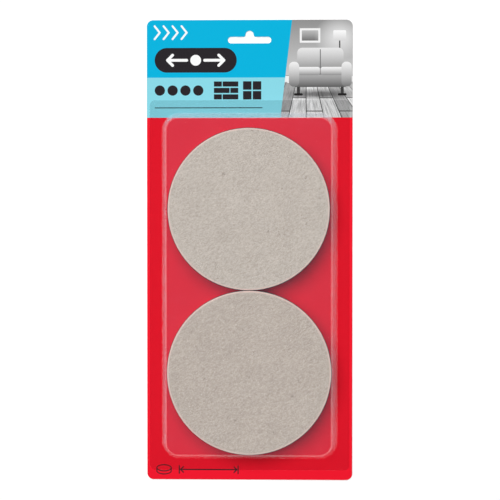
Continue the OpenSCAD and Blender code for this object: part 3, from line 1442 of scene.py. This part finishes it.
@dataclass
class Blister:
    """The clear shell over the sliders, with formed radii along its foot and its face."""

    finish: bpy.types.Material
    film: float = 0.5 * MM
    flange: float = 9.45 * MM
    dome_shift: Point = (0.05 * MM, -0.28 * MM)
    flange_corner_r: float = 4 * MM
    corner_r: float = 14 * MM
    least_corner_r: float = 0.5 * MM
    edge_r: float = 2.3 * MM
    foot_r: float = 0.35 * MM
    draft: float = math.radians(10.5)
    seat: float = 0.06 * MM
    face_middle: float = 2 * MM
    corner_steps: int = 16
    arc_steps: int = 8
    wall_steps: int = 5
    side_steps: int = 14
    face_steps: int = 8
    low: Vector = field(init=False)
    high: Vector = field(init=False)

    def __post_init__(self) -> None:
        """Reads the shell's place from the frame."""
        self.low, self.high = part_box("blister_shell")

    def build(self) -> list[bpy.types.Object]:
        """Makes and dresses the shell in place of its CAD node.

        Returns:
            The shell, as a list of one piece.
        """
        loops = self.loops()
        count = len(loops[0])
        numbers = [list(range(i * count, (i + 1) * count)) for i in range(len(loops))]
        faces = [face for pair in zip(numbers, numbers[1:]) for face in bridge(*pair)]
        faces += [tuple(numbers[0]), tuple(numbers[-1])]
        shell = new_piece("blister", np.concatenate(loops), faces)
        dress(shell, self.finish)
        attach(shell, "blister")
        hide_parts("blister_shell")
        return [shell]

    def loops(self) -> list[np.ndarray]:
        """Goes round the film's section, from the middle of its outer face to its inner face.

        Returns:
            The points of each closed loop.
        """
        outside, inside = self.section(0.0), self.section(self.film - self.seat)
        rims = [self.loop(self.flange, z, self.flange_corner_r) for z in (self.film, self.seat)]
        return [*map(self.dome_loop, outside), *rims, *map(self.dome_loop, reversed(inside))]

    def dome_loop(self, at: Point) -> np.ndarray:
        """Makes a loop of the dome at that offset from its foot line and that height."""
        return self.loop(*at, self.corner_r + at[0], self.dome_shift)

    def section(self, depth: float) -> list[Point]:
        """Cuts through one side of the film, from the middle of the face out to the flange.

        Args:
            depth: How far the surface lies inside the outer one.

        Returns:
            Each point's offset from the dome's foot line, outward, and its height above the card.
        """
        height = self.high.z - self.low.z
        lean, slope = math.tan(self.draft), math.cos(self.draft)
        top_z = height - self.edge_r
        top_x = -top_z * lean - self.edge_r / slope
        foot_z = self.film + self.foot_r
        foot_x = -foot_z * lean + self.foot_r / slope
        face_z = height - depth
        middle, border = (self.face_middle - self.half_width(), face_z), (top_x, face_z)
        face = [between(middle, border, i / self.face_steps) for i in range(self.face_steps)]
        draft = math.degrees(self.draft)
        edge = self._arc((top_x, top_z), self.edge_r - depth, 90, draft)
        foot = self._arc((foot_x, foot_z), self.foot_r + depth, draft - 180, -90)
        wall = [between(edge[-1], foot[0], i / self.wall_steps) for i in range(1, self.wall_steps)]
        return face + edge + wall + foot

    def _arc(self, centre: Point, radius: float, start: float, end: float) -> list[Point]:
        """Makes an arc in the film's section.

        Args:
            centre: The arc's centre.
            radius: Its radius.
            start, end: Where it starts and ends, in degrees.

        Returns:
            Its points.
        """
        steps = np.radians(np.linspace(start, end, self.arc_steps + 1))
        return [(centre[0] + radius * math.cos(t), centre[1] + radius * math.sin(t)) for t in steps]

    def half_width(self) -> float:
        """Half the dome's width at its foot."""
        return (self.high.x - self.low.x) / 2 - self.flange

    def loop(self, offset: float, z: float, radius: float, shift: Point = (0.0, 0.0)) -> np.ndarray:
        """Makes a rounded rectangle of points.

        Args:
            offset: How far it lies outside the dome's foot line.
            z: Its height above the card.
            radius: The radius of its corners.
            shift: How far its middle lies off the shell's middle, across and along the card.

        Returns:
            The points, one row each.
        """
        radius = max(radius, self.least_corner_r)
        half_x = self.half_width() + offset - radius
        half_y = (self.high.y - self.low.y) / 2 - self.flange + offset - radius
        corners = []
        for quarter, (side_x, side_y) in enumerate(((1, 1), (-1, 1), (-1, -1), (1, -1))):
            for step in range(self.corner_steps + 1):
                turn = math.radians(90 * (quarter + step / self.corner_steps))
                corners.append((side_x * half_x + radius * math.cos(turn),
                                side_y * half_y + radius * math.sin(turn)))
        points = []
        for i, corner in enumerate(corners):
            points.append(corner)
            if (i + 1) % (self.corner_steps + 1) == 0:
                following = corners[(i + 1) % len(corners)]
                points += [between(corner, following, step / self.side_steps)
                           for step in range(1, self.side_steps)]
        middle = (self.low + self.high) / 2 + Vector((*shift, 0))
        return np.array([(middle.x + x, middle.y + y, self.low.z + z) for x, y in points])


@dataclass
class Studio:
    """A white floor, a soft lamp, a plain bright room and the camera above the pack."""

    distance: float = 1.5
    view_width: float = 0.3899
    lean_right: float = math.radians(2.05)
    lean_up: float = math.radians(1.3)
    sensor: float = 36.0
    wall_light: float = 0.06
    ceiling_light: float = 0.02
    wall_to_ceiling: Point = (0.1, 0.95)
    mirrored_walls: float = 1.6
    mirrored_ceiling: float = 0.02
    mirrored_heights: Point = (0.55, 0.9)
    lamp_place: Place = (-0.75, 1.4, 4.8)
    lamp_size: float = 4.85
    lamp_power: float = 331.0
    floor_half: float = 1.5
    floor_level: float = -0.3 * MM
    floor_tones: Point = (0.80, 0.84)
    floor_scale: float = 300
    floor_glow: float = 0.2
    target: Vector = field(default_factory=lambda: Vector((0.0003, 0.00027, 0.0)))

    def build(self) -> None:
        """Makes the whole stage."""
        self.floor()
        self.world()
        self.lamp()
        self.camera()
        bpy.context.scene.view_settings.view_transform = "Standard"

    def floor(self) -> None:
        """Lays the floor just below the card."""
        half, level = self.floor_half, self.floor_level
        corners = [(x * half, y * half, level) for x, y in ((-1, -1), (1, -1), (1, 1), (-1, 1))]
        floor = new_piece("floor", np.array(corners), [(0, 1, 2, 3)])
        g = MaterialGraph("floor_white")
        speckle = g.fit(g.noise(self.floor_scale), 0, 1, *self.floor_tones)
        paint = g.first("ShaderNodeBsdfDiffuse", {"Color": speckle})
        inputs = {"Color": grey(255), "Strength": self.floor_glow}
        glow = g.first("ShaderNodeEmission", inputs)
        lifted = g.first("ShaderNodeAddShader", {0: paint, 1: glow})
        dress(floor, g.finish(g.layer(self.seen(g), paint, lifted)))

    @staticmethod
    def seen(g: NodeGraph) -> Socket:
        """Finds the rays that show something to the camera.

        Args:
            g: The tree to add to.

        Returns:
            What is 1 for the camera and for what mirrors or clear pieces show.
        """
        path = g.add("ShaderNodeLightPath").outputs
        direct = g.math("MAXIMUM", path["Is Camera Ray"], path["Is Glossy Ray"])
        return g.math("MAXIMUM", direct, path["Is Transmission Ray"])

    def world(self) -> None:
        """Makes a room with a dark ceiling over bright walls, which glossy film mirrors more of."""
        world = bpy.data.worlds.new("studio")
        world.use_nodes = True
        g = NodeGraph(world.node_tree)
        path = g.add("ShaderNodeLightPath").outputs
        height = g.split(g.add("ShaderNodeTexCoord").outputs["Generated"])[2]
        soft = g.fit(height, *self.wall_to_ceiling, self.wall_light, self.ceiling_light)
        mirrored = g.fit(height, *self.mirrored_heights, self.mirrored_walls, self.mirrored_ceiling)
        lit = g.first("ShaderNodeMix", {0: path["Is Glossy Ray"], 2: soft, 3: mirrored})
        room = g.first("ShaderNodeBackground", {"Color": grey(255), "Strength": lit})
        white = g.first("ShaderNodeBackground", {"Color": grey(255)})
        g.add("ShaderNodeOutputWorld", {0: g.layer(path["Is Camera Ray"], room, white)})
        bpy.context.scene.world = world

    def lamp(self) -> None:
        """Hangs a large round lamp that looks at the pack and doesn't glare in it."""
        light = bpy.data.lights.new("key_lamp", "AREA")
        light.shape = "DISK"
        light.size, light.energy = self.lamp_size, self.lamp_power
        lamp = bpy.data.objects.new("key_lamp", light)
        lamp.location = self.lamp_place
        lamp.rotation_euler = (-Vector(self.lamp_place)).to_track_quat("-Z", "Y").to_euler()
        lamp.visible_glossy = False
        bpy.context.scene.collection.objects.link(lamp)

    def camera(self) -> None:
        """Sets the camera above the pack, a little to its right, with a long lens."""
        data = bpy.data.cameras.new("camera")
        data.sensor_width = self.sensor
        data.lens = self.sensor * self.distance / self.view_width
        camera = bpy.data.objects.new("camera", data)
        back = Vector((math.tan(self.lean_right), math.tan(self.lean_up), 1)).normalized()
        right = Vector((0, 1, 0)).cross(back).normalized()
        camera.location = self.target + back * self.distance
        camera.rotation_euler = Matrix((right, back.cross(right), back)).transposed().to_euler()
        bpy.context.scene.collection.objects.link(camera)
        bpy.context.scene.camera = camera


def main() -> None:
    """Builds the stage and the pack, and logs how many faces each piece has."""
    logging.basicConfig(level=logging.INFO, format="%(name)s: %(message)s")
    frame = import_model()
    Studio().build()
    felt = FeltFinish("needled_felt").material()
    greyer_felt = FeltFinish("needled_felt_greyer", dark=srgb(181, 167, 154),
                             light=srgb(225, 212, 199)).material()
    carrier_black = MouldedFinish("carrier_black", dark=srgb(28, 28, 30), light=srgb(52, 52, 54),
                                  roughness=0.46, grain_scale=2600, grain_depth=0.04 * MM)
    grip_rubber = MouldedFinish("grip_rubber", dark=srgb(40, 41, 43), light=srgb(66, 67, 69),
                                roughness=0.78, grain_scale=1700, grain_depth=0.06 * MM)
    layers = {"fibre": FibreFinish("felt_fibre").material(), "plastic": carrier_black.material(),
              "rubber": grip_rubber.material(), "bond": BondFinish("bond_film").material()}
    upper = layers | {"trim": 1.1 * MM, "shift": (-0.03 * MM, -0.95 * MM)}
    lower = layers | {"shadow_bead_depth": 1.8 * MM}
    scatter = FibreScatter()
    pieces = []
    for slider in (
        Slider("upper_front", Face.OUT, felt, **upper),
        Slider("lower_front", Face.OUT, greyer_felt, **lower, shift=(0.3 * MM, 0.3 * MM)),
        Slider("upper_rear", Face.IN, greyer_felt, **upper),
        Slider("lower_rear", Face.IN, felt, **lower, trim=0.5 * MM),
    ):
        pieces += slider.build(frame, scatter)
    pieces += BackingCard(PrintedBoardFinish("printed_board").material()).build(frame)
    pieces += Blister(ClearFilmFinish("clear_film").material()).build()
    for piece in pieces:
        LOG.info("%s: %d faces", piece.name, len(piece.data.polygons))


if __name__ == "__main__":
    main()
